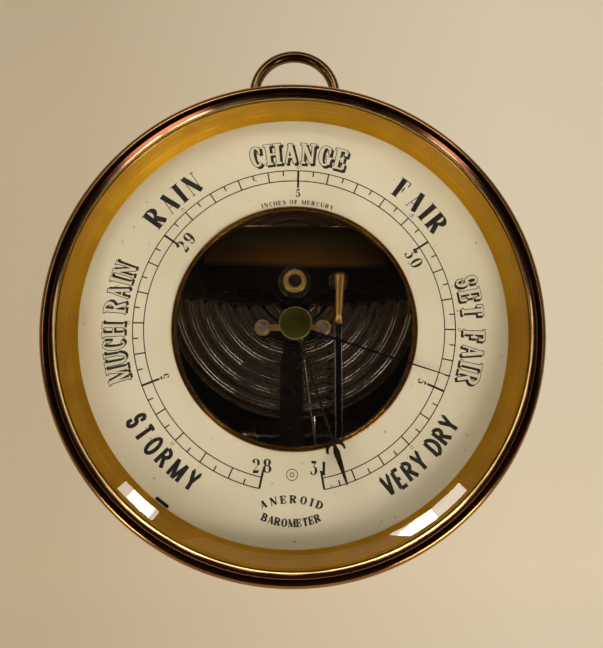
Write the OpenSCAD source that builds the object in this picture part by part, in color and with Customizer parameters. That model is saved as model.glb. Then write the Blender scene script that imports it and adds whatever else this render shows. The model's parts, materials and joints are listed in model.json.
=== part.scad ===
// Open-dial aneroid barometer: brass drum, moulded bezel, bevelled glass, printed dial with a
// centre window, and the capsule, spring, lever, rocker and chain that drive the hand.
// Millimetres. Seen from the front, X is to the right, Z is up and -Y is towards the viewer.
// The origin is the middle of the drum's back face. Inside face_on() the same things are x to
// the right, y up and z out from the wall, so every height below is a distance from the wall.

/* [Case] */
// Outside radius of the drum
drum_r = 65; // [64.5:0.1:65.5]
// Thickness of the drum's wall
drum_wall = 1.2; // [0.8:0.1:1.4]
// Height of the dial's face above the wall
dial_z = 40; // [38:0.5:44]
// Radius of the bezel at its widest bead
bezel_r = 69; // [68.6:0.1:70]
// Thickness of the glass in the middle
glass_t = 3.6; // [3.2:0.1:4]
// Width of the glass's bevel
bevel_w = 4.3; // [3:0.1:6]
// Slope of the bevel, in degrees
bevel_a = 19.6; // [15:0.1:24]

/* [Hanging ring] */
// Outside diameter of the ring
ring_d = 30.8; // [28:0.2:36]
// Diameter of the ring's wire
ring_wire = 3.5; // [3:0.1:3.8]
// Height of the ring's plane above the wall
ring_z = 18; // [14:1:22]

/* [Dial] */
// Radius of the scale's outer circle
scale_r = 45; // [42:0.5:48]
// Inner radius of the brass rim round the centre window
window_r = 33; // [30:0.5:34]
// Degrees of dial for one inch of mercury
deg_per_inch = 112.5; // [100:0.5:115]
// Degrees that the dial sits clockwise of upright in its case
dial_turn = 1.1; // [-2:0.1:2]
// Reading of the indicator hand, inches of mercury
reading = 30.45; // [29:0.05:30.9]
// Reading of the set hand, inches of mercury
set_reading = 30.93; // [28:0.01:31]

/* [Movement] */
// Radius of the vacuum capsule
capsule_r = 41.6; // [38:0.2:42]
// Height of the capsule's axis above the dial's centre
capsule_y = 15; // [14:0.5:16]
// Number of rings pressed in each diaphragm
corrugations = 7; // [4:1:8]
// Half the width of the main spring
spring_w = 28; // [25:0.5:30]
// Thickness of the spring's leaf
spring_t = 1.2; // [0.8:0.1:1.4]
// Length of the rocker's crank
crank_l = 5; // [4.5:0.1:5.5]
// Radius of the arc that the chain winds on
chain_arc_r = 14; // [13:0.1:14.6]
// Degrees that the rocker turns for the whole scale
rocker_sweep = 36; // [30:1:40]

/* [Hidden] */
$fn = 96;

fit = 0.05;              // running clearance round a pivot
slack = 0.03;            // air between two pieces that are screwed together
mid_inch = 29.5;         // reading at the top of the dial
half_scale = 1.5;        // inches from the top of the dial to each end of the scale

// Heights above the wall
back_t = 1.5;
plate_top = 4;
dial_t = 0.8;
drum_top = dial_z + 1;
glass_z = dial_z + 5;
glass_front = glass_z + glass_t;
glass_edge = glass_front - bevel_w * tan(bevel_a);
capsule_low = plate_top + 1;
capsule_top = capsule_low + 9;
casting_low = capsule_top + 1.2;
casting_top = casting_low + 3.3;
leaf_low = casting_top + 7;
leaf_top = leaf_low + spring_t;
arm_low = casting_top + 5.5;
arm_top = arm_low + 2;
chain_z = arm_top + 6.2;
cock_low = arm_top + 9;
cock_top = cock_low + 1.2;
lever_z = leaf_top + 3.7;

// Radii of the case's parts
glass_r = drum_r - 0.6;
lip_r = drum_r - 1.6;
dial_r = drum_r - drum_wall - 0.6;
sight_r = drum_r - 5.1;

// Hanging ring
wire_r = ring_wire / 2;
ring_r = ring_d / 2 - wire_r;
lug_y = drum_r + 3.3;
lug_r = 4.2;
lug_half = 2.1;
stud_r = 1.9;

// Screws: [radius from the axis, degrees]
dial_screw_spots = [[58.8, 178], [60.8, 58], [60.8, -86]];
plate_screw_spots = [[50, 90], [50, 210], [50, 330]];
adjuster_x = -45.5;
foot_in = capsule_r + 2.4;
foot_out = 50;
foot_y = capsule_y + 3;

// Spring and lever
fold_y = capsule_y + 7;
fold_a = 12;
fold_b = (leaf_top - casting_top) / 2;
fold_z = casting_top + fold_b;
post_r = 2.8;
post_stud_r = 1.9;
boss_x = 13.6;
boss_y = capsule_y + 0.4;
lever_x = 12.9;
lever_half = 1.1;
bar_head_r = 1.9;
link_x = lever_x + lever_half + 0.7;
link_t = 0.8;

// Rocker
rocker_y = -33;
rocker_z = chain_z - chain_arc_r - 0.2;
rocker_rest = (reading - mid_inch) / (2 * half_scale) * rocker_sweep;
shaft_r = 1.2;
pivot_r = 0.6;
shaft_lo = -11.6;
shaft_hi = 16.6;
ear_t = 3;
crank_pin_r = 0.5;
crank_pin_y = rocker_y - crank_l * cos(rocker_rest);
crank_pin_z = rocker_z - crank_l * sin(rocker_rest);
arc_x = 5.8;

// Arbor, cock and chain
drum_chain_r = 1.5;
arbor_r = 0.9;
cock_spots = [-9.3, 8];
chain_r = 0.2;
chain_gap = 0.02;
drum_wrap = 122;
bar_x = -0.9;
pillar_y = -41;

function polar(r, a) = [r * cos(a), r * sin(a)];
function arc(c, r, a0, a1, n = 12) =
  [for (i = [0:n]) c + polar(r, a0 + (a1 - a0) * i / n)];
function half_ellipse(c, a, b, n = 20) =
  [for (i = [0:n]) c + [a * sin(180 * i / n), -b * cos(180 * i / n)]];

module face_on() rotate([90, 0, 0]) children();
module disc(r, z0, z1) translate([0, 0, z0]) cylinder(r = r, h = z1 - z0);
module tube(r_out, r_in, z0, z1) difference() {
  disc(r_out, z0, z1);
  disc(r_in, z0 - 1, z1 + 1);
}
module slab(z0, z1) translate([0, 0, z0]) linear_extrude(z1 - z0) children();
module spots(list) for (s = list) translate(polar(s[0], s[1])) children();
// A shape drawn in (y, z) and given width along x
module across(x0, x1) translate([x0, 0, 0]) rotate([90, 0, 90]) linear_extrude(x1 - x0) children();
module rod_x(r, x0, x1) translate([x0, 0, 0]) rotate([0, 90, 0]) cylinder(r = r, h = x1 - x0);
module slot_cut(r, z, w = 0.5, deep = 0.5)
  translate([-r - 1, -w / 2, z - deep]) cube([2 * r + 2, w, deep + 1]);
// Round-headed slotted screw: head on z, shank below it
module screw(head_r, head_h, shank_r, length, z) difference() {
  union() {
    disc(head_r, z, z + head_h);
    disc(shank_r, z - length, z);
  }
  slot_cut(head_r, z + head_h, head_r * 0.28, head_h * 0.5);
}
module at_reading(inches)
  rotate([0, 0, -(inches - mid_inch) * deg_per_inch - dial_turn]) children();

// ---- Case ----

module drum_case() color("#5a4326") face_on() difference() {
  rotate_extrude() polygon(concat(
    [[0, 0]], arc([drum_r - 3, 3], 3, -90, 0),
    [[drum_r, drum_top], [drum_r - drum_wall, drum_top]],
    arc([drum_r - 3, 3], 3 - drum_wall, 0, -90), [[0, back_t]]));
  spots(plate_screw_spots) countersunk(slack);
  translate([adjuster_x, foot_y]) disc(3.2, -1, back_t + 1);
  translate([0, 0, ring_z]) rotate([-90, 0, 0]) cylinder(r = stud_r + fit, h = drum_r + 1);
}

module suspension_lug() color("#4a3622") face_on() translate([0, 0, ring_z]) {
  difference() {
    union() {
      translate([0, lug_y, 0]) rod_x(lug_r, -lug_half, lug_half);
      translate([0, drum_r - 2, 0]) rotate([-90, 0, 0]) cylinder(r = 4.6, h = 3);
      translate([-lug_half, drum_r - 1, -lug_r]) cube([2 * lug_half, 4.3, 2 * lug_r]);
    }
    disc(drum_r + slack, -10, 10);
    translate([0, lug_y, 0]) rod_x(wire_r + 0.4, -lug_half - 5, lug_half + 5);
  }
  rotate([-90, 0, 0]) translate([0, 0, drum_r - 4.6]) cylinder(r = stud_r, h = 4.8);
}

module lug_nut() color("#8a6a34") face_on()
  translate([0, 0, ring_z]) rotate([-90, 0, 0]) difference() {
    translate([0, 0, drum_r - 4.1]) cylinder(r = 3.6, h = 2.6, $fn = 6);
    cylinder(r = stud_r + fit, h = drum_r);
  }

module suspension_ring() color("#4a3622") face_on()
  translate([0, lug_y + ring_r, ring_z]) rotate_extrude() translate([ring_r, 0]) circle(wire_r);

module bezel() color("#3c2a1a") face_on() rotate_extrude() polygon(concat(
  [[drum_r + fit, dial_z - 3.6], [drum_r + 1.2, dial_z - 3.6], [drum_r + 1.4, dial_z - 1.6]],
  arc([bezel_r - 2.1, dial_z + 3], 2.1, -85, 70),
  arc([drum_r + 0.6, glass_z + 2.3], 1.75, -25, 150),
  [[lip_r, glass_edge + 0.6], [lip_r, glass_edge + 0.1], [drum_r - 0.4, glass_edge + 0.1],
   [drum_r - 0.4, drum_top + fit], [drum_r + fit, drum_top + fit]]));

module glass() color("#cfe0dc", 0.35) face_on() rotate_extrude() polygon([
  [1.8, glass_z], [glass_r, glass_z], [glass_r, glass_edge], [glass_r - 1.2, glass_edge],
  [glass_r - 1.2 - bevel_w, glass_front], [1.8, glass_front]]);

module reflector_ring() color("#c8942c") face_on() rotate_extrude() polygon([
  [sight_r, dial_z], [sight_r + 0.6, dial_z], [glass_r, glass_z - 0.8], [glass_r, glass_z],
  [glass_r - 1, glass_z]]);

module dial() color("#ded5bd") face_on() difference() {
  tube(dial_r, window_r + 0.7, dial_z - dial_t, dial_z);
  spots(dial_screw_spots) {
    disc(0.7, dial_z - 2, dial_z + 1);
    disc(1, dial_z - 0.45, dial_z + 1);
  }
  key_spot() translate([-0.4, -2.1, -2]) cube([0.8, 4.2, 4]);
}

module dial_opening_rim() color("#a07a35") face_on() rotate_extrude() polygon([
  [window_r, dial_z - 1.6], [window_r + 0.65, dial_z - 1.6], [window_r + 0.65, dial_z],
  [window_r + 1.4, dial_z], [window_r + 1.4, dial_z + 0.3], [window_r + 1.15, dial_z + 0.55],
  [window_r + 0.85, dial_z + 0.55], [window_r + 0.7, dial_z + 0.3],
  [window_r + 0.5, dial_z + 0.3], [window_r + 0.4, dial_z + 0.6], [window_r, dial_z + 0.6]]);

module dial_screws() color("#ded5bd") face_on() spots(dial_screw_spots) difference() {
  union() {
    disc(0.95, dial_z - 0.42, dial_z - 0.02);
    disc(0.6, dial_z - 4, dial_z - 0.42);
  }
  slot_cut(1, dial_z - 0.02, 0.25, 0.15);
}

module dial_pillars() color("#a8833f") face_on() spots(dial_screw_spots) difference() {
  union() {
    disc(1.8, plate_top, dial_z - dial_t);
    disc(2.3, plate_top, plate_top + 2);
    disc(2.3, dial_z - dial_t - 2, dial_z - dial_t);
  }
  disc(0.65, dial_z - 5, dial_z);
}

module key_spot() rotate([0, 0, -126.8]) translate([sight_r - 0.7, 0, dial_z]) children();

// Flat key through the dial's edge, that stops the dial from turning
module dial_key() color("#3a3026") face_on() key_spot()
  translate([-0.37, -2.05, -1.5]) cube([0.74, 4.1, 1.85]);

// ---- Base ----

module countersunk(gap) {
  translate([0, 0, -gap]) cylinder(r1 = 3.2 + gap, r2 = 1.7 + gap, h = back_t);
  disc(1.5 + gap, -1, plate_top);
}

module movement_plate() color("#2b2722") face_on() difference() {
  rotate_extrude() polygon([[0, back_t], [drum_r - 3.2, back_t], [drum_r - 1.8, back_t + 1.8],
    [drum_r - 1.8, plate_top], [0, plate_top]]);
  spots(plate_screw_spots) disc(1.5 + slack, 0, plate_top + 1);
  translate([adjuster_x, foot_y]) disc(3.5, 0, plate_top + 1);
  translate([0, capsule_y]) disc(3, 0, plate_top + 1);
  foot_screw_spots() disc(1.5, 0, plate_top + 1);
  bracket_screw_spots() disc(1.2, 0, plate_top + 1);
  translate([bar_x, pillar_y]) disc(1.6, 0, plate_top + 1);
}

module plate_screws() color("#8a6a34") face_on() spots(plate_screw_spots) difference() {
  union() {
    translate([0, 0, 0.1]) cylinder(r1 = 3.1, r2 = 1.7, h = back_t - 0.1);
    disc(1.5, 0.1, plate_top);
  }
  translate([-4, -0.4, 0]) cube([8, 0.8, 0.6]);
}

module adjusting_bush() color("#a8833f") face_on() translate([adjuster_x, foot_y])
  tube(3.5, 2 + fit, back_t, plate_top);

module adjusting_screw() color("#7d7a74") face_on() translate([adjuster_x, foot_y]) difference() {
  union() {
    disc(2.9, 0.3, back_t - slack);
    disc(2, 0.3, plate_top + 0.5);
  }
  translate([-4, -0.4, 0]) cube([8, 0.8, 1]);
}

// ---- Vacuum capsule ----

// Height of the pressed rings above the diaphragm's mean, at radius r from the capsule's axis
wave_lo = 7.2;
wave_hi = capsule_r - 1.3;
wave_pitch = (wave_hi - wave_lo) / (corrugations + 0.25);
function wave(r) = r < wave_lo || r > wave_hi ? 0 :
  0.55 * max(-1, min(1, 1.7 * sin(360 * (r - wave_lo) / wave_pitch)));
diaphragm_t = 0.4;
wave_points = [for (i = [0:12 * corrugations + 3]) wave_lo + i * wave_pitch / 12];
// One diaphragm as a profile: middle, pressed rings, then down to the seam at height 0
function diaphragm(h) = concat(
  [[0, h]], [for (r = wave_points) [r, h + wave(r)]],
  [[capsule_r - 0.7, h + 0.1], [capsule_r, diaphragm_t], [capsule_r + 0.8, diaphragm_t],
   [capsule_r + 0.8, 0], [capsule_r - 0.4, 0], [capsule_r - 1.1, h - 0.3]],
  [for (i = [len(wave_points) - 1:-1:0])
    [wave_points[i], h - diaphragm_t + wave(wave_points[i])]],
  [[0, h - diaphragm_t]]);
capsule_mid = (capsule_low + capsule_top) / 2;

module on_capsule() face_on() translate([0, capsule_y]) children();

module capsule_base_stud() color("#a8833f") on_capsule() {
  disc(3, back_t, plate_top);
  disc(7, plate_top, capsule_low);
}

module capsule_lower() color("#8d8a80") on_capsule() translate([0, 0, capsule_mid])
  mirror([0, 0, 1]) rotate_extrude() polygon(diaphragm(capsule_mid - capsule_low));

module capsule_upper() color("#9a968a") on_capsule() translate([0, 0, capsule_mid])
  rotate_extrude() polygon(diaphragm(capsule_top - capsule_mid));

module capsule_seam() color("#6f6c66") on_capsule()
  tube(capsule_r + 1.4, capsule_r + 0.8, capsule_mid - 0.8, capsule_mid + 0.8);

module capsule_post() color("#6d6a66") on_capsule() {
  disc(4.8, capsule_top, capsule_top + 0.9);
  disc(post_r, capsule_top, leaf_low);
  disc(post_stud_r, leaf_low, leaf_top + 2.4);
  slab(leaf_top + 2.4, leaf_top + 3) square(2.1, center = true);
}

module capsule_washer() color("#b8b5ae") on_capsule() rotate_extrude() polygon([
  [post_stud_r, leaf_top], [5.2, leaf_top], [5.2, leaf_top + 0.3], [4.9, leaf_top + 0.6],
  [post_stud_r, leaf_top + 0.6]]);

module capsule_nut() color("#b5883c") on_capsule() rotate_extrude() polygon([
  [post_stud_r, leaf_top + 0.6], [3.7, leaf_top + 0.6], [3.7, leaf_top + 2.1],
  [3.3, leaf_top + 2.5], [2.7, leaf_top + 2.5], [2.5, leaf_top + 2.25],
  [post_stud_r, leaf_top + 2.25]]);

// ---- Bridge and main spring ----

module foot_screw_spots() for (y = [-3.5, 3.5])
  translate([(foot_in + foot_out) / 2, foot_y + y]) children();

module bridge_casting() color("#1f1c1a") face_on() difference() {
  union() {
    slab(casting_low, casting_top) polygon([
      [-foot_out, foot_y - 6], [-34, foot_y - 6], [-20, capsule_y - 5.5],
      [20, capsule_y - 5.5], [34, foot_y - 6], [foot_out, foot_y - 6],
      [foot_out, foot_y + 6], [34, foot_y + 6], [26, foot_y + 9], [-26, foot_y + 9],
      [-34, foot_y + 6], [-foot_out, foot_y + 6]]);
    translate([-foot_out, foot_y - 6, plate_top + 0.55])
      cube([foot_out - foot_in, 12, casting_low - plate_top]);
    translate([foot_in, foot_y - 6, plate_top]) cube([foot_out - foot_in, 12, casting_low - 3]);
  }
  translate([0, capsule_y]) disc(post_r + 2.8, casting_low - 1, casting_top + 1);
  foot_screw_spots() disc(1.5, 0, casting_top + 1);
  clamp_spots() disc(1.4, casting_low - 1, casting_top + 1);
}

module bridge_screws() color("#7d7a74") face_on() foot_screw_spots()
  screw(2.5, 1.8, 1.5, casting_top - back_t - 0.2, casting_top);

module clamp_spots() for (x = [-16, 16]) translate([x, fold_y - 1.8]) children();

module main_spring() color("#4d3a26") face_on() difference() {
  union() {
    across(-spring_w, spring_w) polygon(concat(
      half_ellipse([fold_y, fold_z], fold_a, fold_b),
      [for (p = half_ellipse([fold_y, fold_z], fold_a - spring_t, fold_b - spring_t))
        [p[0], 2 * fold_z - p[1]]]));
    slab(leaf_low, leaf_top) leaf_outline();
    translate([-spring_w, capsule_y - 2, casting_top])
      cube([2 * spring_w, fold_y - capsule_y + 2, spring_t]);
  }
  translate([0, capsule_y]) disc(post_r + 2.2, casting_top - 1, casting_top + spring_t + 1);
  translate([-post_r - 2.2, 0, casting_top - 1])
    cube([2 * post_r + 4.4, capsule_y, spring_t + 2]);
  translate([0, capsule_y]) disc(post_stud_r + fit, leaf_low - 1, leaf_top + 1);
  translate([boss_x, boss_y]) disc(1.2 + fit, leaf_low - 1, leaf_top + 1);
  clamp_spots() disc(1.4, casting_top - 1, casting_top + spring_t + 1);
}

// Free end of the upper leaf: wide shoulders that draw in to a tongue round the nut
module leaf_outline() {
  difference() {
    translate([-spring_w, capsule_y - 3]) square([2 * spring_w, fold_y - capsule_y + 3]);
    for (s = [-1, 1]) {
      translate([s * spring_w, capsule_y - 3]) rotate([0, 0, s * 32])
        translate([-6, -6]) square([12, 8]);
      translate([s * 14, capsule_y - 12.5]) circle(10.6);
    }
  }
  translate([0, capsule_y]) circle(7);
}

module spring_clamp_plate() color("#3a342c") face_on() difference() {
  translate([-22, fold_y - 3.6, casting_top + spring_t]) cube([44, 3.4, 1.2]);
  clamp_spots() disc(1.4, casting_top, leaf_low);
}

module spring_clamp_screws() color("#7d7a74") face_on() clamp_spots()
  screw(1.9, 1, 1.4, casting_top - casting_low + spring_t + 1, casting_top + spring_t + 1.2);

// ---- Lever ----

// Turned in (radius, distance down the bar) and laid along -y
module along_lever(x, y) translate([x, y, lever_z]) rotate([90, 0, 0]) children();

module lever_boss() color("#b8b5ae") face_on() translate([boss_x, boss_y]) {
  disc(1.2, leaf_low, leaf_top);
  disc(3.2, leaf_top, leaf_top + 0.8);
  disc(1.9, leaf_top + 0.8, lever_z - bar_head_r);
}

module compensation_bar() color("#b5883c") face_on()
  along_lever(boss_x, boss_y) rotate([0, 0.35, 0]) rotate([0, atan((lever_x - boss_x) / boss_y), 0])
    rotate_extrude() polygon([[0, -2], [1.2, -1.8], [bar_head_r, -1.1], [bar_head_r, 1],
      [1.6, 2.6], [1.45, 4], [1.35, 11.3], [1.65, 12], [1.8, 12.9], [1.65, 13.8], [0, 13.8]]);

module lever_arm() color("#5c5a58") face_on() difference() {
  union() {
    slab(lever_z - 0.6, lever_z + 0.6) polygon([
      [lever_x - 1, 0], [lever_x + 1, 0], [lever_x + lever_half, -1.5],
      [lever_x + 1, crank_pin_y - 1.4], [lever_x - 1, crank_pin_y - 1.4],
      [lever_x - lever_half, -1.5]]);
    along_lever(lever_x, boss_y) rotate_extrude() polygon([[0, 13.9], [0.9, 13.9],
      [1.25, 14.6], [1.25, 16.4], [0.9, 17.4], [0, 17.4]]);
  }
  translate([lever_x - 0.45, crank_pin_y + 3, lever_z + 0.1]) cube([0.9, -crank_pin_y - 5.5, 2]);
  translate([0, crank_pin_y, lever_z]) rod_x(crank_pin_r, 0, 30);
}

module lever_pin() color("#b8b5ae") face_on() translate([0, crank_pin_y, lever_z])
  rod_x(crank_pin_r, lever_x - 1.6, link_x + link_t + 0.4);

module link_rod() color("#8a8782") face_on() across(link_x, link_x + link_t) difference() {
  union() {
    translate([crank_pin_y, lever_z]) circle(1.3);
    translate([crank_pin_y - 0.5, crank_pin_z]) square([1, lever_z - crank_pin_z]);
    translate([crank_pin_y - 0.5, crank_pin_z]) circle(1.3);
    translate([crank_pin_y + 0.5, crank_pin_z]) circle(1.3);
    translate([crank_pin_y - 0.5, crank_pin_z - 1.3]) square([1, 2.6]);
  }
  translate([crank_pin_y, lever_z]) circle(crank_pin_r);
  for (y = [-0.5, 0.5]) translate([crank_pin_y + y, crank_pin_z]) circle(crank_pin_r + fit);
  translate([crank_pin_y - 0.5, crank_pin_z - crank_pin_r - fit])
    square([1, 2 * (crank_pin_r + fit)]);
}

// ---- Rocker ----

module on_rocker() face_on() translate([0, rocker_y, rocker_z]) children();
module bracket_screw_spots() for (x = [-8, 12]) translate([x, rocker_y]) children();

module rocker_bracket() color("#a8833f") face_on() difference() {
  union() {
    translate([shaft_lo - ear_t - 0.4, rocker_y - 4, plate_top])
      cube([shaft_hi - shaft_lo + 2 * ear_t + 0.8, 8, 2]);
    for (x = [shaft_lo - ear_t - 0.4, shaft_hi + 0.4]) {
      translate([x, rocker_y - 2.6, plate_top]) cube([ear_t, 5.2, rocker_z - plate_top]);
      translate([0, rocker_y, rocker_z]) rod_x(2.6, x, x + ear_t);
    }
  }
  translate([0, rocker_y, rocker_z]) rod_x(1.4, shaft_lo - 10, shaft_hi + 10);
  bracket_screw_spots() disc(1.2, 0, 10);
}

module bracket_screws() color("#8a8782") face_on() bracket_screw_spots()
  screw(2, 1.2, 1.2, plate_top + 1.8 - back_t, plate_top + 2);

module rocker_pivot_screws() color("#b8b5ae") on_rocker() {
  for (side = [0, 1]) translate([side ? shaft_hi : shaft_lo, 0, 0]) mirror([side, 0, 0])
    difference() {
      union() {
        rod_x(1.4, -ear_t - 0.5, -0.3);
        rod_x(2, -ear_t - 1.7, -ear_t - 0.4);
        rod_x(pivot_r - fit, -0.3, 1.2);
      }
      translate([-ear_t - 2.7, -0.3, -3]) cube([1.5, 0.6, 6]);
    }
}

module rocker_shaft() color("#8a8782") on_rocker() difference() {
  rod_x(shaft_r, shaft_lo, shaft_hi);
  rod_x(pivot_r, shaft_lo - 1, shaft_lo + 2);
  rod_x(pivot_r, shaft_hi - 2, shaft_hi + 1);
}

// Piece that stands on the rocker's shaft, drawn as it is at the middle of the scale
module rocked() on_rocker() rotate([rocker_rest, 0, 0]) children();

module rocker_crank() color("#a8833f") rocked() {
  across(link_x - 1.9, link_x - 0.7) difference() {
    union() {
      circle(2.3);
      translate([-crank_l, -0.9]) square([crank_l, 1.8]);
      translate([-crank_l, 0]) circle(1.2);
    }
    circle(shaft_r);
  }
  translate([0, -crank_l, 0]) rod_x(crank_pin_r, link_x - 0.8, link_x + link_t + 0.5);
}

module chain_arm() color("#7d7a74") rocked() across(arc_x - 0.6, arc_x + 0.6) difference() {
  union() {
    circle(2.3);
    polygon([[-1.3, 1.5], [1.3, 1.5], [0.8, chain_arc_r - 1], [-0.8, chain_arc_r - 1]]);
    polygon(concat(arc([0, 0], chain_arc_r, 68, 112), arc([0, 0], chain_arc_r - 1.8, 112, 68)));
  }
  circle(shaft_r);
  rotate([0, 0, 110]) translate([chain_arc_r - 0.9, 0]) circle(0.35);
}

module chain_hook() color("#b5883c") rocked() rotate([20, 0, 0])
  translate([0, 0, chain_arc_r - 0.9]) rod_x(0.35, arc_x - 1, arc_x + 1);

// ---- Chain, drum and hand ----

chain_low = [arc_x, rocker_y, chain_z];
chain_high = [drum_chain_r + chain_gap + chain_r, 0, chain_z];
chain_run = norm(chain_high - chain_low);
chain_lean = atan((chain_low[0] - chain_high[0]) / (chain_high[1] - chain_low[1]));
link_pitch = 1.15;

module chain() color("#c9c2ae") face_on() {
  translate(chain_low) rotate([-90, 0, 0]) rotate([0, -chain_lean, 0]) {
    cylinder(r = 0.12, h = chain_run, $fn = 16);
    for (i = [0:floor(chain_run / link_pitch) - 1])
      translate([0, 0, i * link_pitch + 0.3]) cylinder(r = chain_r, h = 0.8, $fn = 16);
  }
  translate([0, 0, chain_z]) rotate_extrude(angle = drum_wrap)
    translate([drum_chain_r + chain_gap, -chain_r]) square([2 * chain_r, 2 * chain_r]);
  translate([arc_x - chain_r, rocker_y, rocker_z]) rotate([0, 90, 0]) rotate([0, 0, 180])
    rotate_extrude(angle = -(20 + rocker_rest))
      translate([chain_arc_r + chain_gap, 0]) square([2 * chain_r, 2 * chain_r]);
}

module chain_drum() color("#b5883c") face_on() difference() {
  union() {
    disc(drum_chain_r, chain_z - 1, chain_z + 1);
    disc(2.4, chain_z - 1.2, chain_z - 0.8);
    disc(2.4, chain_z + 0.8, chain_z + 1.2);
  }
  disc(arbor_r, chain_z - 2, chain_z + 2);
}

module hand_arbor() color("#8a8782") face_on() {
  disc(0.5, arm_low + 0.2, arm_top + 0.3);
  disc(arbor_r, arm_top + 0.3, cock_low - 0.2);
  disc(0.75, cock_low - 0.2, dial_z + 0.6);
  disc(0.55, dial_z + 0.6, dial_z + 2.3);
}

module indicator_hand() color("#1c2233") face_on() at_reading(reading) difference() {
  union() {
    disc(1.7, dial_z + 0.7, dial_z + 1.1);
    disc(1.2, dial_z + 1.1, dial_z + 2);
    slab(dial_z + 1.1, dial_z + 1.4) polygon([[-0.45, -4], [0.45, -4], [0.4, 0],
      [0.24, scale_r - 12], [0.1, scale_r], [-0.1, scale_r], [-0.24, scale_r - 12],
      [-0.4, 0]]);
  }
  disc(0.55, dial_z, dial_z + 3);
}

module hairspring_collet() color("#b5883c") face_on()
  tube(1.5, arbor_r, arm_top + 1.4, arm_top + 2.8);

hair_turns = 5;
hair_r0 = 1.65;
hair_r1 = 6.3;
function hair(i, off) = let (t = i / (24 * hair_turns))
  polar(hair_r0 + (hair_r1 - hair_r0) * t + off, -90 - 360 * hair_turns * (1 - t));

module hairspring() color("#3c4a63") face_on() slab(arm_top + 1.6, arm_top + 2.5)
  polygon(concat([for (i = [0:24 * hair_turns]) hair(i, 0)],
    [for (i = [24 * hair_turns:-1:0]) hair(i, 0.16)]));

module hairspring_stud() color("#5c5a58") face_on() translate([0, -hair_r1 - 1])
  disc(0.8, arm_top, arm_top + 2.9);

module arbor_bridge() color("#26221f") face_on() difference() {
  union() {
    disc(4.2, arm_low, arm_top);
    for (x = cock_spots) translate([x, 0]) disc(2.3, arm_low, arm_top);
    slab(arm_low, arm_top) {
      translate([cock_spots[0] - 0.8, -1.9]) square([cock_spots[1] - cock_spots[0] + 1.6, 3.8]);
      translate([bar_x, 0]) polygon([[2.5, 0], [2.6, -5.4], [3.2, -11.7], [3.7, -31],
        [3.7, -38], [-3.7, -38], [-3.7, -31], [-3.5, -11.7], [-2.6, -5.4], [-2.5, 0]]);
    }
    translate([bar_x, pillar_y]) disc(5.2, arm_low, arm_top);
  }
  disc(0.5 + fit, arm_low - 1, arm_top + 1);
  for (x = cock_spots) translate([x, 0]) disc(0.9, arm_low - 1, arm_top + 1);
  translate([bar_x, pillar_y]) disc(1.6, arm_low - 1, arm_top + 1);
}

module bridge_pillar() color("#a8833f") face_on() translate([bar_x, pillar_y]) difference() {
  union() {
    disc(1.6, back_t + 0.2, plate_top);
    disc(3.4, plate_top, arm_low);
  }
  disc(1.6, arm_low - 6, arm_low + 1);
}

module bridge_pillar_screw() color("#8a8782") face_on() translate([bar_x, pillar_y])
  screw(2.8, 1.6, 1.6, 7.5, arm_top);

module cock_pillars() color("#a8833f") face_on() for (x = cock_spots) translate([x, 0])
  difference() {
    union() {
      disc(0.9, arm_low, arm_top);
      disc(1.8, arm_top, cock_low);
    }
    disc(0.9, cock_low - 3, cock_low + 1);
  }

module arbor_cock() color("#b5883c") face_on() difference() {
  slab(cock_low, cock_top) {
    circle(3.6);
    for (x = cock_spots) translate([x, 0]) circle(2.3);
    polygon([[cock_spots[0], -0.8], [-3.4, -0.9], [0, -3.4], [3.4, -0.9], [cock_spots[1], -0.8],
      [cock_spots[1], 0.8], [3.4, 0.9], [0, 3.4], [-3.4, 0.9], [cock_spots[0], 0.8]]);
  }
  disc(0.75 + fit, cock_low - 1, cock_top + 1);
  for (x = cock_spots) translate([x, 0]) disc(0.9, cock_low - 1, cock_top + 1);
}

module cock_screws() color("#d0b070") face_on() for (x = cock_spots) translate([x, 0])
  screw(1.7, 1, 0.9, cock_top - cock_low + 2.5, cock_top);

// ---- Set hand ----

set_z = dial_z + 3;

module set_hand() color("#a87832") face_on() at_reading(set_reading) difference() {
  union() {
    disc(3.2, set_z, set_z + 0.5);
    disc(2, set_z + 0.5, set_z + 1.1);
    slab(set_z + 0.1, set_z + 0.5) {
      polygon([[-0.55, 0], [0.55, 0], [0.28, window_r + 0.5], [-0.28, window_r + 0.5]]);
      for (s = [-1, 1]) scale([s, 1]) difference() {
        translate([0.1, window_r - 1]) polygon(concat([[0, 0.6]],
          arc([0, 3], 2.6, -85, 5, 8), arc([0, 3.5], 2, 5, -85, 8)));
      }
      polygon([[0, window_r - 0.4], [0.9, window_r + 2.6], [0.25, scale_r - 0.4],
        [-0.25, scale_r - 0.4], [-0.9, window_r + 2.6]]);
    }
  }
  disc(0.8, set_z - 1, set_z + 2);
}

module set_hand_spindle() color("#8a8782") face_on() {
  disc(0.8, set_z - 0.2, set_z + 1.1);
  disc(1.15, set_z + 1.1, glass_front + 0.5);
  disc(0.8, glass_front + 0.5, glass_front + 1.3);
}

module set_hand_washer() color("#8a8782") face_on() tube(2.4, 1.15 + fit, set_z + 1.12, glass_z - 0.4);

module set_hand_bush() color("#b5883c") face_on() rotate_extrude() polygon([
  [1.15 + fit, glass_z - 0.3], [2.7, glass_z - 0.3], [2.7, glass_z], [1.75, glass_z],
  [1.75, glass_front], [2.7, glass_front], [2.7, glass_front + 0.3],
  [1.15 + fit, glass_front + 0.3]]);

module set_knob() color("#4d4a2c") face_on() rotate_extrude() polygon([
  [0.8, glass_front + 0.5], [3.8, glass_front + 0.5], [4.4, glass_front + 0.8],
  [4.4, glass_front + 1.4], [4.25, glass_front + 1.6], [4, glass_front + 1.6],
  [3.8, glass_front + 1.5], [0, glass_front + 1.4], [0, glass_front + 1.3],
  [0.8, glass_front + 1.3]]);

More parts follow.
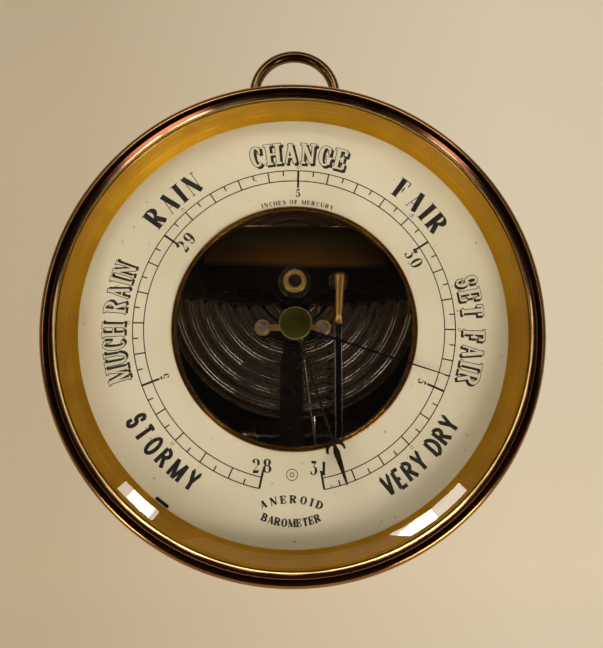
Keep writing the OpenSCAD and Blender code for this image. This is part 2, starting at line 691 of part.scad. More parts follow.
drum_case();
suspension_lug();
lug_nut();
suspension_ring();
bezel();
glass();
reflector_ring();
dial();
dial_opening_rim();
dial_screws();
dial_pillars();
dial_key();
movement_plate();
plate_screws();
adjusting_bush();
adjusting_screw();
capsule_base_stud();
capsule_lower();
capsule_upper();
capsule_seam();
capsule_post();
capsule_washer();
capsule_nut();
bridge_casting();
bridge_screws();
main_spring();
spring_clamp_plate();
spring_clamp_screws();
lever_boss();
compensation_bar();
lever_arm();
lever_pin();
link_rod();
rocker_bracket();
bracket_screws();
rocker_pivot_screws();
rocker_shaft();
rocker_crank();
chain_arm();
chain_hook();
chain();
chain_drum();
hand_arbor();
indicator_hand();
hairspring_collet();
hairspring();
hairspring_stud();
arbor_bridge();
bridge_pillar();
bridge_pillar_screw();
cock_pillars();
arbor_cock();
cock_screws();
set_hand();
set_hand_spindle();
set_hand_washer();
set_hand_bush();
set_knob();
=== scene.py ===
"""Looks for the open-dial aneroid barometer: finishes, printed dial, softened edges, light, camera.

Lengths here are millimetres in the dial's own directions: x to the right, y up and z out from
the wall, and angles on the dial are clockwise from its top. point() turns them into the row
frame's metres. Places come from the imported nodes' boxes, and the printing is laid out on the
dial from the scale's own radius and angles.
"""
import json
import math

import bmesh
import bpy
import numpy as np
from mathutils import Matrix, Vector


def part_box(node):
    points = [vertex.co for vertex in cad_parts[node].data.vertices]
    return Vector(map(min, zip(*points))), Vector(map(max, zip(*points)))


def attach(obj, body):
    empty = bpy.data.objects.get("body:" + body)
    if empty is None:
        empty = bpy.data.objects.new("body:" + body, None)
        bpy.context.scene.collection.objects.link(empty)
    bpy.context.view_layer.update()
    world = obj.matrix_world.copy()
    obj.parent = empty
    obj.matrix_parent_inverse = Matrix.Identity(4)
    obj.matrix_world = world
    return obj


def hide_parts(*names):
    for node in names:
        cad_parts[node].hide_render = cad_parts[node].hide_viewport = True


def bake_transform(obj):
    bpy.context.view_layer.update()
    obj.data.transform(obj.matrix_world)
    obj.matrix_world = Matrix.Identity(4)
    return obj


MM = 0.001

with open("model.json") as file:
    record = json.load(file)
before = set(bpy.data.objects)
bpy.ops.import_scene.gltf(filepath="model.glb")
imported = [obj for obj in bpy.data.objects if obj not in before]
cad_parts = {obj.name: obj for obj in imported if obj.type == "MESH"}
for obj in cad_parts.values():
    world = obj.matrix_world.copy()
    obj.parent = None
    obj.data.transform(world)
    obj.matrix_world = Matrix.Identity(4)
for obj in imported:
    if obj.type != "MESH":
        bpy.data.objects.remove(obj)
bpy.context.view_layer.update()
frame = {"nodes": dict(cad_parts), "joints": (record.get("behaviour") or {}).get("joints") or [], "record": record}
nodes = frame["nodes"]
bodies = frame["record"]["behaviour"]["bodies"]
body_of = {node: body for body, members in bodies.items() for node in members}


# ---- Places ----

def point(x, y, z):
    return Vector((x, -z, y)) * MM


class Span:
    """A node's box: x to the right, y up, z out from the wall."""

    def __init__(self, node):
        low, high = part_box(node)
        self.x0, self.x1 = low.x / MM, high.x / MM
        self.y0, self.y1 = low.z / MM, high.z / MM
        self.z0, self.z1 = -high.y / MM, -low.y / MM


def tip(node):
    """How far a node reaches from the dial's axis, and the angle of that point on the dial."""
    flat = [(v.co.x / MM, v.co.z / MM) for v in nodes[node].data.vertices]
    reach = max(math.hypot(x, y) for x, y in flat)
    ends = [(x, y) for x, y in flat if math.hypot(x, y) > reach - 0.02]
    x, y = sum(e[0] for e in ends), sum(e[1] for e in ends)
    return reach, math.degrees(math.atan2(x, y))


def bore(node):
    """The radius of the hole through a node that lies round the dial's axis."""
    return min(math.hypot(v.co.x, v.co.z) for v in nodes[node].data.vertices) / MM


dial = Span("dial")
rim = Span("dial_opening_rim")
rim_bore = bore("dial_opening_rim")
capsule = Span("capsule_upper")
glass = Span("glass")
bezel = Span("bezel")
capsule_y = (capsule.y0 + capsule.y1) / 2

scale_r, hand_angle = tip("indicator_hand")
hand_joint = [j for j in frame["joints"] if j["name"] == "hand_turn"][0]
scale_start, scale_end = [hand_angle + a for a in hand_joint["range_deg"]]
dial_turn = (scale_start + scale_end) / 2
inches = 3
inch_deg = (scale_end - scale_start) / inches


# ---- Finishes ----

class Finish:
    """A Principled material, with short calls for the nodes that feed it. Noise sizes are in mm."""

    def __init__(self, name, metallic=1.0, **constants):
        self.material = bpy.data.materials.new(name)
        self.material.use_nodes = True
        self.tree = self.material.node_tree
        self.shader = self.tree.nodes["Principled BSDF"]
        self.shader.inputs["Metallic"].default_value = metallic
        for socket, value in constants.items():
            self.shader.inputs[socket.replace("_", " ")].default_value = value
        place = self.tree.nodes.new("ShaderNodeTexCoord").outputs["Object"]
        self.place = self.node("ShaderNodeVectorMath", place, operation="SCALE", Scale=1 / MM)

    def node(self, kind, *values, out=0, **settings):
        """A node with its first inputs set or linked; settings are attributes or named inputs."""
        made = self.tree.nodes.new(kind)
        for name, value in settings.items():
            if hasattr(made, name):
                setattr(made, name, value)
        named = {n.replace(" ", "_"): v for n, v in settings.items() if not hasattr(made, n)}
        for socket, value in [*enumerate(values), *named.items()]:
            if value is None:
                continue
            key = socket if isinstance(socket, int) else socket.replace("_", " ")
            self.feed(made.inputs[key], value)
        return made.outputs[out]

    def feed(self, socket, value):
        if isinstance(value, bpy.types.NodeSocket):
            self.tree.links.new(value, socket)
        else:
            socket.default_value = value

    def maths(self, operation, *values):
        return self.node("ShaderNodeMath", *values, operation=operation)

    def noise(self, size, detail=3.0, where=None, stretch=None):
        """Noise from 0 to 1 with grains of about size; stretch lengthens them per axis."""
        where = where or self.place
        if stretch:
            where = self.node("ShaderNodeVectorMath", where, stretch, operation="DIVIDE")
        return self.node("ShaderNodeTexNoise", where, Scale=1 / size, Detail=detail)

    def ease(self, value, low, high, to_low=0.0, to_high=1.0):
        return self.node("ShaderNodeMapRange", value, low, high, to_low, to_high)

    def mix(self, share, first, second):
        made = self.tree.nodes.new("ShaderNodeMix")
        made.data_type = "RGBA"
        for socket, value in ((0, share), (6, first), (7, second)):
            self.feed(made.inputs[socket], value)
        return made.outputs[2]

    def radius(self, y=0.0):
        """Distance from an axis that runs out from the wall at height y."""
        offset = self.node("ShaderNodeVectorMath", self.place, (0, 0, y), operation="SUBTRACT")
        flat = self.node("ShaderNodeVectorMath", offset, (1, 0, 1), operation="MULTIPLY")
        return self.node("ShaderNodeVectorMath", flat, operation="LENGTH", out="Value")

    def axis(self, index):
        return self.node("ShaderNodeSeparateXYZ", self.place, out=index)

    def lines(self, along, size, detail=2.0):
        """Noise that changes only with one measure, such as a radius: turned or brushed lines."""
        where = self.node("ShaderNodeCombineXYZ", along)
        return self.noise(size, detail, where)

    def colour(self, value):
        self.feed(self.shader.inputs["Base Color"], value)

    def rough(self, value):
        self.feed(self.shader.inputs["Roughness"], value)

    def relief(self, height, depth, strength=1.0):
        """Bump of about depth mm, laid over any bump that the shader has already."""
        normal = self.shader.inputs["Normal"]
        before = normal.links[0].from_socket if normal.is_linked else None
        self.feed(normal, self.node("ShaderNodeBump", Strength=strength, Distance=depth * MM,
                                    Height=height, Normal=before))


def rgb(red, green, blue):
    """A colour as seen on a screen, 0 to 255, in the shader's own terms."""
    def linear(c):
        c /= 255
        return c / 12.92 if c < 0.04045 else ((c + 0.055) / 1.055) ** 2.4
    return (linear(red), linear(green), linear(blue), 1.0)


SCRATCH = 0.35        # size of the fine scratches in metal
SATIN = 0.004         # their depth in satin metal
POLISHED = 0.0004     # and in small polished pieces


def metal(name, dark, light, rough, patch, depth=SATIN):
    """Worn metal: patches of two tones, uneven roughness, fine scratches and dull spots."""
    f = Finish(name)
    patches = f.ease(f.noise(patch, 3), 0.25, 0.8)
    specks = f.ease(f.noise(patch / 9, 2), 0.7, 0.78)
    tone = f.mix(patches, light, dark)
    f.colour(f.mix(f.maths("MULTIPLY", specks, 0.45), tone, dark))
    f.rough(f.ease(f.noise(patch / 2, 3), 0.3, 0.75, *rough))
    f.relief(f.noise(SCRATCH, 2), depth, 0.3)
    return f


def turned(f, y, pitch, depth, strength=0.5):
    """Fine circular tool marks round an axis at height y."""
    f.relief(f.lines(f.radius(y), pitch), depth, strength)
    return f


def case_brass():
    f = metal("case_brass", rgb(104, 75, 44), rgb(142, 105, 62), (0.28, 0.42), patch=14)
    f.relief(f.lines(f.axis(1), 0.5), 0.02, 0.4)
    return f


def bezel_brass():
    """A brown-gold outer bead, a dark patina inside it, and a painted highlight: a pale line at the glass's edge.
    """
    f = metal("bezel_brass", rgb(120, 82, 46), rgb(164, 120, 70), (0.12, 0.2), patch=16)
    wander = f.ease(f.noise(9, 2), 0.3, 0.7, -0.2, 0.2)
    wavering_radius = f.maths("ADD", f.radius(), wander)
    bead = f.ease(wavering_radius, bezel.x1 - 4.1, bezel.x1 - 3.5)
    # Painted highlight: a pale line round the glass's edge.
    glass_edge_highlight = f.ease(wavering_radius, glass.x1 - 0.5, glass.x1 - 0.9)
    gold = f.shader.inputs["Base Color"].links[0].from_socket
    patina = f.mix(f.noise(12, 3), rgb(66, 38, 28), rgb(84, 50, 34))
    f.colour(f.mix(glass_edge_highlight, f.mix(bead, patina, gold), rgb(204, 174, 122)))
    return turned(f, 0, 0.5, 0.004, 0.3)


def gilt_brass():
    """Satin gilding over fine turned lines, with a little tarnish."""
    f = Finish("gilt_brass", metallic=0.92)
    radius = f.radius()
    stain = f.ease(f.noise(11, 4), 0.42, 0.75)
    rings = f.ease(f.lines(radius, 0.5, 3), 0.35, 0.7)
    gold = f.mix(rings, rgb(196, 146, 26), rgb(178, 126, 18))
    f.colour(f.mix(f.maths("MULTIPLY", stain, 0.4), gold, rgb(142, 90, 12)))
    f.rough(f.ease(f.noise(3, 3), 0.3, 0.7, 0.38, 0.5))
    f.relief(f.lines(radius, 0.35, 2), 0.012, 0.4)
    return f


def rim_brass():
    """Dark between its two edges, which carry gold painted highlights."""
    f = metal("rim_brass", rgb(72, 44, 18), rgb(116, 76, 32), (0.12, 0.2), patch=12)
    radius = f.radius()
    # Painted highlights: gold lines along the inner and outer edges.
    inner = f.ease(radius, rim_bore + 0.75, rim_bore + 0.5)
    outer = f.ease(radius, rim.x1 - 0.6, rim.x1 - 0.4)
    dark = f.shader.inputs["Base Color"].links[0].from_socket
    f.colour(f.mix(f.maths("MAXIMUM", inner, outer), dark, rgb(178, 126, 62)))
    return turned(f, 0, 0.25, 0.002, 0.3)


def lever_steel():
    """A blackened flat lever, with painted highlights along its two long edges."""
    f = metal("lever_steel", rgb(30, 24, 18), rgb(50, 42, 34), (0.26, 0.36), 8, POLISHED)
    arm = Span("lever_arm")
    middle, half = (arm.x0 + arm.x1) / 2, (arm.x1 - arm.x0) / 2
    off = f.maths("ABSOLUTE", f.maths("SUBTRACT", f.axis(0), middle))
    dark = f.shader.inputs["Base Color"].links[0].from_socket
    # Painted highlights: a pale colour along both long edges.
    f.colour(f.mix(f.ease(off, half - 0.5, half - 0.35), dark, rgb(226, 214, 196)))
    return f


def printed_dial():
    """Cream enamel, a little uneven, darker and yellower towards the edge, with small brown specks."""
    f = Finish("printed_dial", metallic=0.0, Specular_IOR_Level=0.35, Coat_Weight=0.15,
               Coat_Roughness=0.25)
    cloud = f.ease(f.noise(24, 4), 0.3, 0.7)
    cream = f.mix(cloud, rgb(231, 218, 194), rgb(222, 207, 180))
    edge = f.ease(f.radius(), dial.x1 - 12, dial.x1 - 2, 0.0, 0.5)
    edge_toned = f.mix(edge, cream, rgb(206, 190, 154))
    specks = f.ease(f.noise(1.5, 0), 0.82, 0.86, 0.0, 0.5)
    f.colour(f.mix(specks, edge_toned, rgb(128, 96, 58)))
    f.rough(f.ease(f.noise(5, 3), 0.3, 0.7, 0.36, 0.5))
    f.relief(f.noise(0.7, 3), 0.01, 0.35)
    return f


def dial_ink():
    f = Finish("dial_ink", metallic=0.0, Specular_IOR_Level=0.3)
    thin = f.ease(f.noise(1.1, 3), 0.45, 0.8)
    f.colour(f.mix(thin, rgb(26, 22, 19), rgb(58, 50, 42)))
    f.rough(f.ease(f.noise(0.6, 2), 0.3, 0.7, 0.4, 0.6))
    f.relief(f.noise(0.4, 2), 0.004, 0.4)
    return f


def lettering_paper():
    f = Finish("lettering_paper", metallic=0.0, Specular_IOR_Level=0.3)
    f.colour(f.mix(f.noise(2, 3), rgb(224, 211, 187), rgb(212, 198, 170)))
    f.rough(f.ease(f.noise(0.8, 2), 0.3, 0.7, 0.42, 0.55))
    f.relief(f.noise(0.5, 2), 0.004, 0.4)
    return f


def bevelled_glass():
    """Clear polished glass. Shadow rays pass, so light reaches the dial; dust breaks the gloss."""
    f = Finish("bevelled_glass", metallic=0.0, Transmission_Weight=1.0, IOR=1.5)
    f.colour(f.mix(f.ease(f.noise(30, 2), 0.3, 0.7), rgb(250, 252, 250), rgb(244, 249, 246)))
    f.rough(f.ease(f.noise(1.2, 3), 0.62, 0.75, 0.0, 0.03))
    f.relief(f.noise(9, 1), 0.004, 0.15)
    clear = f.node("ShaderNodeBsdfTransparent")
    shadow = f.node("ShaderNodeLightPath", out="Is Shadow Ray")
    mixed = f.node("ShaderNodeMixShader", shadow, f.shader.outputs[0], clear)
    f.feed(f.tree.nodes["Material Output"].inputs["Surface"], mixed)
    return f


def black_lacquer():
    f = Finish("black_lacquer", metallic=0.0, Specular_IOR_Level=0.3)
    chipped = f.ease(f.noise(2.4, 5), 0.7, 0.76, 0.0, 0.5)
    base = f.mix(f.noise(9, 3), rgb(16, 10, 6), rgb(28, 18, 9))
    f.colour(f.mix(chipped, base, rgb(52, 36, 20)))
    f.rough(f.ease(f.noise(4, 3), 0.3, 0.7, 0.2, 0.32))
    f.relief(f.noise(1.5, 3), 0.01, 0.3)
    return f


def spring_steel():
    """Leaf painted with reflections: olive at the fold and a bronze band in front of it, then painted shade,
    nearly lightless, towards the front.
    """
    f = Finish("spring_steel", Specular_IOR_Level=0.5)
    leaf = Span("main_spring")
    wander = f.ease(f.noise(30, 2, stretch=(3, 1, 1)), 0.3, 0.7, -0.8, 0.8)
    # Bands by height down the leaf: painted reflections of light, then painted shade.
    back = f.maths("SUBTRACT", leaf.y1, f.maths("ADD", f.axis(2), wander))
    bronze = f.ease(back, 5, 9)
    painted_shade_front = f.ease(back, 12.5, 14.5)
    painted_reflection_tones = f.mix(bronze, rgb(132, 126, 68), rgb(134, 92, 38))
    f.colour(f.mix(painted_shade_front, painted_reflection_tones, f.mix(f.noise(12, 3), rgb(26, 17, 12), rgb(38, 24, 14))))
    f.rough(f.ease(f.noise(9, 3), 0.3, 0.7, 0.3, 0.4))
    brush_marks = f.noise(0.3, 2, stretch=(40, 1, 1))
    f.relief(brush_marks, SATIN, 0.3)
    return f


def capsule_metal():
    """Bright thin sheet, smooth enough for its waves to show sharp lines of light."""
    smooth = POLISHED / 2
    f = metal("capsule_metal", rgb(224, 202, 184), rgb(246, 226, 206), (0.06, 0.08), 24, smooth)
    return turned(f, capsule_y, 0.8, smooth, 0.15)


def knob_brass():
    """Dull bronzed top, with a painted highlight round its rim."""
    f = metal("knob_brass", rgb(64, 58, 22), rgb(88, 80, 34), (0.4, 0.52), 4, SATIN / 2)
    knob = Span("set_knob")
    # Painted highlight: a paler colour round the rim.
    painted_rim_highlight = f.ease(f.radius(), knob.x1 - 0.5, knob.x1 - 0.3)
    dull = f.shader.inputs["Base Color"].links[0].from_socket
    f.colour(f.mix(painted_rim_highlight, dull, rgb(150, 138, 96)))
    return turned(f, 0, 0.3, 0.003)


MADE_FINISHES = {
    "case_brass": case_brass,
    "bezel_brass": bezel_brass,
    "gilt_brass": gilt_brass,
    "rim_brass": rim_brass,
    "printed_dial": printed_dial,
    "bevelled_glass": bevelled_glass,
    "black_lacquer": black_lacquer,
    "spring_steel": spring_steel,
    "capsule_metal": capsule_metal,
    "knob_brass": knob_brass,
}
# Dark tone, light tone, roughness from and to, size of the patches, depth of the scratches
PLAIN_METALS = {
    "ring_brass": (rgb(82, 62, 38), rgb(128, 100, 60), (0.16, 0.28), 10, SATIN),
    "bright_brass": (rgb(172, 120, 58), rgb(226, 180, 104), (0.28, 0.4), 9, POLISHED),
    "dull_brass": (rgb(74, 46, 26), rgb(116, 78, 44), (0.26, 0.4), 8, POLISHED),
    "bright_steel": (rgb(176, 158, 144), rgb(222, 206, 190), (0.24, 0.34), 8, POLISHED),
    "grey_steel": (rgb(66, 58, 50), rgb(112, 102, 90), (0.2, 0.32), 8, POLISHED),
    "blued_steel": (rgb(22, 22, 30), rgb(40, 44, 66), (0.2, 0.34), 3, SATIN),
    "hand_brass": (rgb(58, 42, 26), rgb(124, 92, 56), (0.22, 0.38), 3, SATIN),
}
finishes = {slot: make().material for slot, make in MADE_FINISHES.items()}
finishes.update({slot: metal(slot, *values).material for slot, values in PLAIN_METALS.items()})
slot_of = {name: node.material_slots[0].material.name for name, node in nodes.items()}
for name, node in nodes.items():
    for slot in node.material_slots:
        slot.material = finishes[slot_of[name]]


# ---- Softened metalwork ----

# Nodes that take another slot's finish, and one with a finish of its own
REFINISHED = {"cock_screws": "bright_steel", "capsule_washer": "grey_steel",
              "lever_boss": "grey_steel"}
OWN_FINISHES = {"lever_arm": lever_steel().material}

# The nodes that are smoothed, and how wide a bevel each takes
SOFT_NODES = {"capsule_lower": 0, "bezel": 0, "drum_case": 0.15,
              "dial_opening_rim": 0.12, "suspension_lug": 0.12, "arbor_cock": 0.2,
              "cock_screws": 0.15, "arbor_bridge": 0.15, "bridge_casting": 0.25,
              "spring_clamp_plate": 0.2, "set_hand": 0.05, "lever_arm": 0.4, "lever_boss": 0.2,
              "compensation_bar": 0, "capsule_washer": 0.15, "capsule_nut": 0.2,
              "capsule_post": 0.2, "link_rod": 0.15, "set_knob": 0, "rocker_crank": 0.1,
              "indicator_hand": 0.03, "set_hand_bush": 0.1}
SPRING_BEVEL = 0.22
SAME_POINT = 0.002    # corners closer than this are one
NO_EDGE = 0.0005      # edges shorter than this are dropped
FLAT = 0.3            # faces within this many degrees are one


def softened(node, bevel, sharp=40.0):
    """The node's own surface, smoothed across its facets, with a small bevel on its edges."""
    mesh = nodes[node].data.copy()
    mesh.name = node + ".soft"
    work = bmesh.new()
    work.from_mesh(mesh)
    bmesh.ops.remove_doubles(work, verts=work.verts, dist=SAME_POINT * MM)
    bmesh.ops.dissolve_degenerate(work, edges=work.edges, dist=NO_EDGE * MM)
    bmesh.ops.dissolve_limit(work, angle_limit=math.radians(FLAT), verts=work.verts,
                             edges=work.edges)
    for face in work.faces:
        face.smooth = True
    for edge in work.edges:
        bent = len(edge.link_faces) == 2 and edge.calc_face_angle() > math.radians(sharp)
        edge.smooth = not bent
    work.to_mesh(mesh)
    work.free()
    mesh.normals_split_custom_set([(0, 0, 0)] * len(mesh.loops))
    piece = bpy.data.objects.new(node + ".soft", mesh)
    bpy.context.scene.collection.objects.link(piece)
    if bevel:
        round_off = piece.modifiers.new("edges", "BEVEL")
        round_off.width = bevel * MM
        round_off.segments = 2
        round_off.limit_method = "ANGLE"
        round_off.angle_limit = math.radians(sharp)
        round_off.harden_normals = True
        round_off.use_clamp_overlap = True
    return piece


def stand_for(piece, node):
    """piece takes a node's place, body and slot, unless REFINISHED names another slot."""
    slot = REFINISHED.get(node, slot_of[node])
    piece.data.materials[0] = OWN_FINISHES.get(node, finishes[slot])
    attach(piece, body_of[node])
    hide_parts(node)


for node, bevel in SOFT_NODES.items():
    stand_for(softened(node, bevel), node)


def outline(node, y):
    """The closed outline (r, z) that a node was turned from, about an axis at height y."""
    mesh = nodes[node].data
    ring_of = [(round(math.hypot(v.co.x / MM, v.co.z / MM - y), 3), round(-v.co.y / MM, 3))
               for v in mesh.vertices]
    beside = {}
    for edge in mesh.edges:
        a, b = [ring_of[v] for v in edge.vertices]
        if a != b:
            beside.setdefault(a, set()).add(b)
            beside.setdefault(b, set()).add(a)
    line = [max(beside)]
    while True:
        onward = [ring for ring in sorted(beside[line[-1]]) if ring not in line]
        if not onward:
            return [np.array(ring) for ring in line]
        line.append(onward[0])


def eased(line, pieces, sharp, straight=1.0):
    """The outline with its gently bent steps split along a smooth curve through its points.

    A step stays whole if an end of it bends more than sharp, or neither bends as much as straight.
    """
    count = len(line)

    def bend(i):
        into, out = line[i] - line[i - 1], line[(i + 1) % count] - line[i]
        turn = into.dot(out) / (np.linalg.norm(into) * np.linalg.norm(out))
        return math.degrees(math.acos(max(-1.0, min(1.0, turn))))

    fine = []
    for i in range(count):
        a, b, c, d = [line[(i + k) % count] for k in (-1, 0, 1, 2)]
        fine.append(b)
        bends = bend(i), bend((i + 1) % count)
        if max(bends) > sharp or max(bends) < straight:
            continue
        leaving, arriving = (c - a) / 2, (d - b) / 2
        for t in np.arange(1, pieces) / pieces:
            fine.append((2 * t**3 - 3 * t**2 + 1) * b + (t**3 - 2 * t**2 + t) * leaving
                        + (3 * t**2 - 2 * t**3) * c + (t**3 - t**2) * arriving)
    return fine


def turned_again(node, y, around_count=192, pieces=4, sharp=45.0):
    """A node of revolution with its outline and its roundness both made finer."""
    line = eased(outline(node, y), pieces, sharp)
    count = len(line)
    turns = [2 * math.pi * i / around_count for i in range(around_count)]
    corners = [point(r * math.sin(a), y + r * math.cos(a), z) for a in turns for r, z in line]

    def corner(i, j):
        return i % around_count * count + j % count

    faces = [(corner(i, j), corner(i, j + 1), corner(i + 1, j + 1), corner(i + 1, j))
             for i in range(around_count) for j in range(count)]
    mesh = bpy.data.meshes.new(node + ".turned")
    mesh.from_pydata(corners, [], faces)
    mesh.materials.append(finishes[slot_of[node]])
    work = bmesh.new()
    work.from_mesh(mesh)
    bmesh.ops.recalc_face_normals(work, faces=work.faces)
    for face in work.faces:
        face.smooth = True
    for edge in work.edges:
        edge.smooth = edge.calc_face_angle() < math.radians(sharp)
    work.to_mesh(mesh)
    work.free()
    piece = bpy.data.objects.new(node + ".turned", mesh)
    bpy.context.scene.collection.objects.link(piece)
    stand_for(piece, node)


turned_again("capsule_upper", capsule_y)


def folded_spring():
    """The main spring, smoothed and bevelled, with its placing baked into its mesh, in place of the imported part.
    """
    spring = softened("main_spring", SPRING_BEVEL)
    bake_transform(spring)
    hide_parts("main_spring")


folded_spring()


# ---- Printing on the dial ----

INK_DEPTH = 0.01    # how far the ink's underside sits in the dial
INK_STEP = 0.00004  # each shape stands this much above the one before, so that none coincide


class Printing:
    """Closed flat shapes on the dial's face, gathered into one piece."""

    def __init__(self, height):
        self.level = dial.z1 + height
        self.corners = []
        self.faces = []

    def strip(self, left, right, closed=False):
        """The band between two lines of points, as a thin solid."""
        count = len(left)
        first = len(self.corners)
        self.level += INK_STEP
        turn = math.radians(dial_turn)
        for z in (self.level, dial.z1 - INK_DEPTH):
            for x, y in [*left, *right]:
                self.corners.append(point(x * math.cos(turn) + y * math.sin(turn),
                                          y * math.cos(turn) - x * math.sin(turn), z))

        def corner(side, index, under):
            return first + under * 2 * count + side * count + index % count

        for i in range(count if closed else count - 1):
            for a, b in (((0, 0), (1, 0)), ((1, 1), (0, 1)), ((0, 1), (0, 0)), ((1, 0), (1, 1))):
                self.faces.append([corner(a[0], i, a[1]), corner(a[0], i + 1, a[1]),
                                   corner(b[0], i + 1, b[1]), corner(b[0], i, b[1])])
        if not closed:
            for i in (0, count - 1):
                end = [corner(0, i, 0), corner(1, i, 0), corner(1, i, 1), corner(0, i, 1)]
                self.faces.append(end if i == 0 else end[::-1])

    def stroke(self, path, widths, place, grow=0.0, closed=False, shift=(0, 0)):
        """A pen stroke along path, as wide as widths, warped onto the dial by place."""
        path = np.array(path, float) + shift
        widths = np.broadcast_to(widths, len(path)).astype(float) + 2 * grow
        if closed:
            ahead = np.roll(path, -1, 0) - np.roll(path, 1, 0)
        else:
            ahead = np.gradient(path, axis=0)
        ahead /= np.linalg.norm(ahead, axis=1)[:, None]
        if not closed:
            path[0] -= ahead[0] * grow
            path[-1] += ahead[-1] * grow
        side = np.stack([-ahead[:, 1], ahead[:, 0]], 1) * widths[:, None] / 2
        self.strip([place(*p) for p in path + side], [place(*p) for p in path - side], closed)

    def piece(self, name, material, slot):
        mesh = bpy.data.meshes.new(name)
        mesh.from_pydata(self.corners, [], self.faces)
        mesh.materials.append(material)
        made = bpy.data.objects.new(name, mesh)
        bpy.context.scene.collection.objects.link(made)
        work = bmesh.new()
        work.from_mesh(mesh)
        bmesh.ops.recalc_face_normals(work, faces=work.faces)
        work.to_mesh(mesh)
        work.free()
        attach(made, "case")


def flat(x, y):
    """Upright writing whose baseline starts from (x, y)."""
    return lambda u, v: (x + u, y + v)


def around(radius, angle, inward=False, centre=(0.0, 0.0)):
    """Writing on an arc: tops away from the centre and clockwise, or inward and the other way."""
    way = -1 if inward else 1

    def place(u, v):
        turn = math.radians(angle) + way * u / radius
        reach = radius + way * v
        return centre[0] + reach * math.sin(turn), centre[1] + reach * math.cos(turn)
    return place


def ellipse(cx, cy, rx, ry, start, end, count=18):
    """Points along part of an ellipse, from degrees start to end, anticlockwise from its right.

    Each point's third value is the stroke's weight there, from 0 at top and bottom to 1.
    """
    turns = [math.radians(start + (end - start) * i / count) for i in range(count + 1)]
    swell = 1.7
    return [(cx + rx * math.cos(a), cy + ry * math.sin(a), abs(math.cos(a)) ** swell)
            for a in turns]


# Kinds of stroke: thick, thin, thin and level, swelling, swelling and closed, and an S's
STEM, HAIR, BAR, BOW, RING, SPINE = range(6)


def diagonal(x0, y0, x1, y1, kind=STEM):
    return (kind, [(x0, y0), (x1, y1)], "")


def stem(x, y0=0.0, y1=1.0, kind=STEM, feet="bt"):
    return (kind, [(x, y0), (x, y1)], feet)


def bar(y, x0, x1, ends=""):
    return (BAR, [(x0, y), (x1, y)], ends)


def bow(*ellipses, kind=BOW):
    return (kind, [p for e in ellipses for p in ellipse(*e)], "")


def ring(cx, cy, rx, ry):
    """A closed oval of 30 points, 12 degrees apart."""
    return (RING, ellipse(cx, cy, rx, ry, 0, 348, 29), "")


